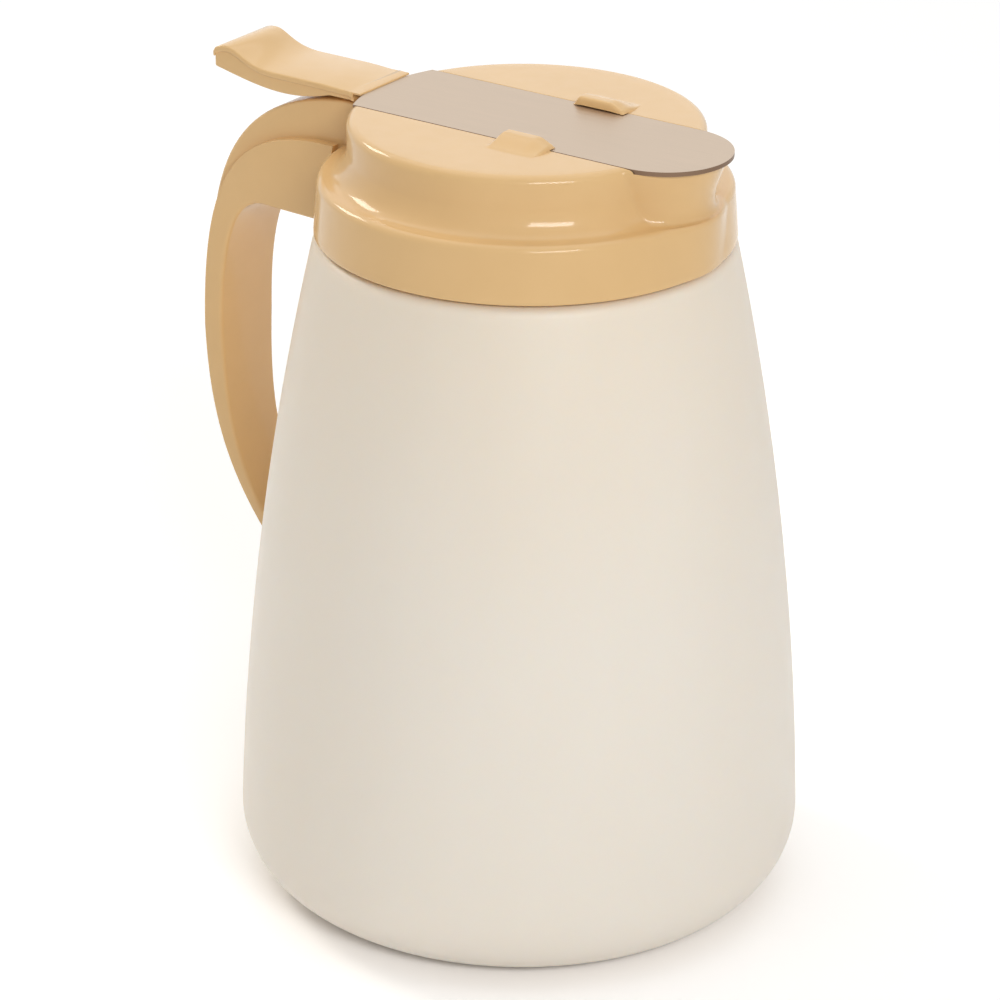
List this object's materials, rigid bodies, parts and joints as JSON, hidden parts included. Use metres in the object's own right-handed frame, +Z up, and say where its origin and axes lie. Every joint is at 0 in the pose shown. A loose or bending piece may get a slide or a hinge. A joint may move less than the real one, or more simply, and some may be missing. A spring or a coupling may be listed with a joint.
{
  "type": "syrup dispenser",
  "caption": "Screw-top jar with bowed sides, hooked handle, front spout and a spring-closed sliding gate worked by a thumb lever.",
  "frame": {"origin": "centre of the jar's base, on the surface it stands on", "axes": "+Z up along the jar's axis, +X towards the spout, so the handle hangs on the -X side"},
  "size_m": [0.1484, 0.13, 0.189],
  "materials": {
    "milky_polyethylene": "translucent, satin",
    "seal_rubber": "matte",
    "beige_plastic": "semi-gloss",
    "gate_steel": "satin",
    "spring_steel": "bright"
  },
  "bodies": {
    "jar": {"jar": "milky_polyethylene"},
    "seal": {"sealing_ring": "seal_rubber"},
    "top": {"collar": "beige_plastic", "cover": "beige_plastic", "handle": "beige_plastic", "return_spring": "spring_steel"},
    "gate": {"gate_plate": "gate_steel", "thumb_lever": "beige_plastic"}
  },
  "joints": [
    {"name": "top_turn", "type": "hinge", "parent": "jar", "child": "seal", "pos_m": [0, 0, 0.1676], "axis": [0, 0, 1], "range_deg": [0, 720]},
    {"name": "top_lift", "type": "slide", "parent": "seal", "child": "top", "axis": [0, 0, 1], "range_m": [0, 0.0121]},
    {"name": "gate_slide", "type": "slide", "parent": "top", "child": "gate", "axis": [-1, 0, 0], "range_m": [0, 0.024], "stiffness_N_per_m": 350, "springref_m": -0.009, "deforming": ["return_spring"]}
  ],
  "couplings": [
    {"joint": "top_lift", "follows": "top_turn", "m_per_rad": 0.00095493}
  ]
}
